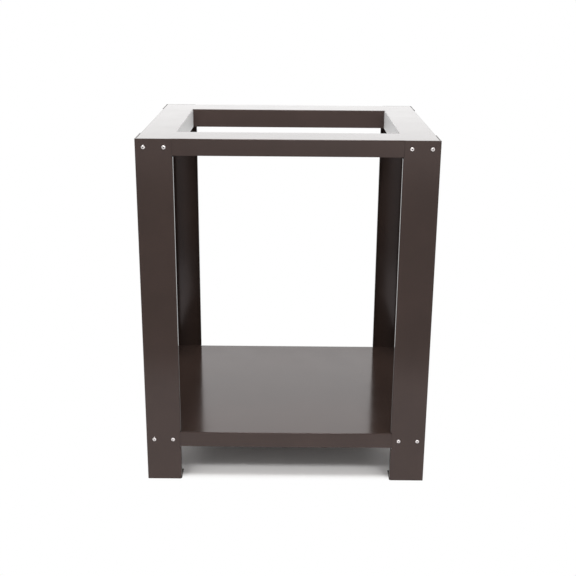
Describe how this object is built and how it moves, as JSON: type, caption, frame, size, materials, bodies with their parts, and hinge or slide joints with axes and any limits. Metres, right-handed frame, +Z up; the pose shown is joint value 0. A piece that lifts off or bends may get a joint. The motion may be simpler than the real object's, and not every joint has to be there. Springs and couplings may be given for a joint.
{
  "type": "pizza oven stand",
  "caption": "Open stand of folded, powder-coated sheet steel: corner legs, a flat top frame with a window that carries an oven, and a lower shelf.",
  "frame": {"origin": "on the floor, under the middle of the stand", "axes": "+Z up, +X to the right, the front faces -Y"},
  "size_m": [0.7056, 0.6054, 0.868],
  "materials": {
    "brown_powder_coat": "gloss",
    "bright_screws": "satin",
    "zinc_fixings": "satin"
  },
  "bodies": {
    "root": {"top_frame": "brown_powder_coat", "lower_shelf": "brown_powder_coat", "leg_front_left": "brown_powder_coat", "leg_front_right": "brown_powder_coat", "leg_rear_left": "brown_powder_coat", "leg_rear_right": "brown_powder_coat", "foot_plate_front_left": "brown_powder_coat", "foot_plate_front_right": "brown_powder_coat", "foot_plate_rear_left": "brown_powder_coat", "foot_plate_rear_right": "brown_powder_coat", "frame_screws_front_left": "bright_screws", "frame_screws_front_right": "bright_screws", "frame_screws_rear_left": "bright_screws", "frame_screws_rear_right": "bright_screws", "shelf_screws_front_left": "bright_screws", "shelf_screws_front_right": "bright_screws", "shelf_screws_rear_left": "bright_screws", "shelf_screws_rear_right": "bright_screws", "frame_washers_front_left": "zinc_fixings", "frame_washers_front_right": "zinc_fixings", "frame_washers_rear_left": "zinc_fixings", "frame_washers_rear_right": "zinc_fixings", "frame_nuts_front_left": "zinc_fixings", "frame_nuts_front_right": "zinc_fixings", "frame_nuts_rear_left": "zinc_fixings", "frame_nuts_rear_right": "zinc_fixings", "shelf_washers_front_left": "zinc_fixings", "shelf_washers_front_right": "zinc_fixings", "shelf_washers_rear_left": "zinc_fixings", "shelf_washers_rear_right": "zinc_fixings", "shelf_nuts_front_left": "zinc_fixings", "shelf_nuts_front_right": "zinc_fixings", "shelf_nuts_rear_left": "zinc_fixings", "shelf_nuts_rear_right": "zinc_fixings"}
  },
  "joints": []
}
